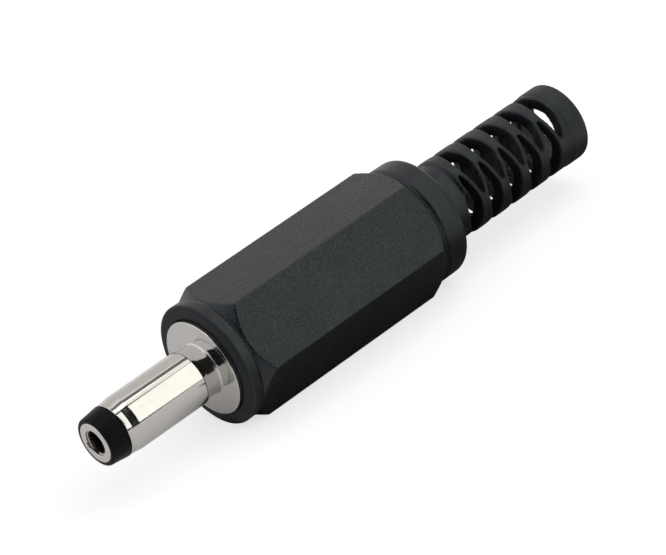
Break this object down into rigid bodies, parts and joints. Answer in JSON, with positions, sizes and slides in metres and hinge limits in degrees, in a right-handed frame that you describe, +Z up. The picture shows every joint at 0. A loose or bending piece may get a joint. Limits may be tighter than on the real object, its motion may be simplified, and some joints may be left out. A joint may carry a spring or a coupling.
{
  "type": "dc power plug",
  "caption": "Cable-mount DC barrel plug with a plated barrel and flange, a black six-sided screw-on hood and a slotted flexible strain relief.",
  "frame": {"origin": "on the plug's axis, in the flange's front face, which meets the jack", "axes": "+X along the plug's axis out of the tip; +Z up, square to one flat of the hood, which lies on the opposite flat"},
  "size_m": [0.0438, 0.01, 0.0086],
  "materials": {
    "hood_black": "black moulded plastic with a fine spark-eroded grain",
    "nickel_plate": "bright nickel plating on turned brass",
    "nose_black": "satin black moulded plastic",
    "contact_plate": "bright plating on turned brass",
    "spring_metal": "plated spring bronze",
    "fibre": "brown laminated insulating board",
    "terminal_tin": "satin tin plating on stamped brass"
  },
  "bodies": {
    "plug": {"barrel_sleeve": "nickel_plate", "nose_insulator": "nose_black", "centre_contact": "contact_plate", "contact_spring": "spring_metal", "rear_insulator": "fibre", "centre_terminal": "terminal_tin", "ground_terminal": "terminal_tin"},
    "hood": {"hood": "hood_black"}
  },
  "joints": [
    {"name": "hood_off", "type": "slide", "parent": "plug", "child": "hood", "axis": [-1, 0, 0], "range_m": [0, 0.022]}
  ]
}
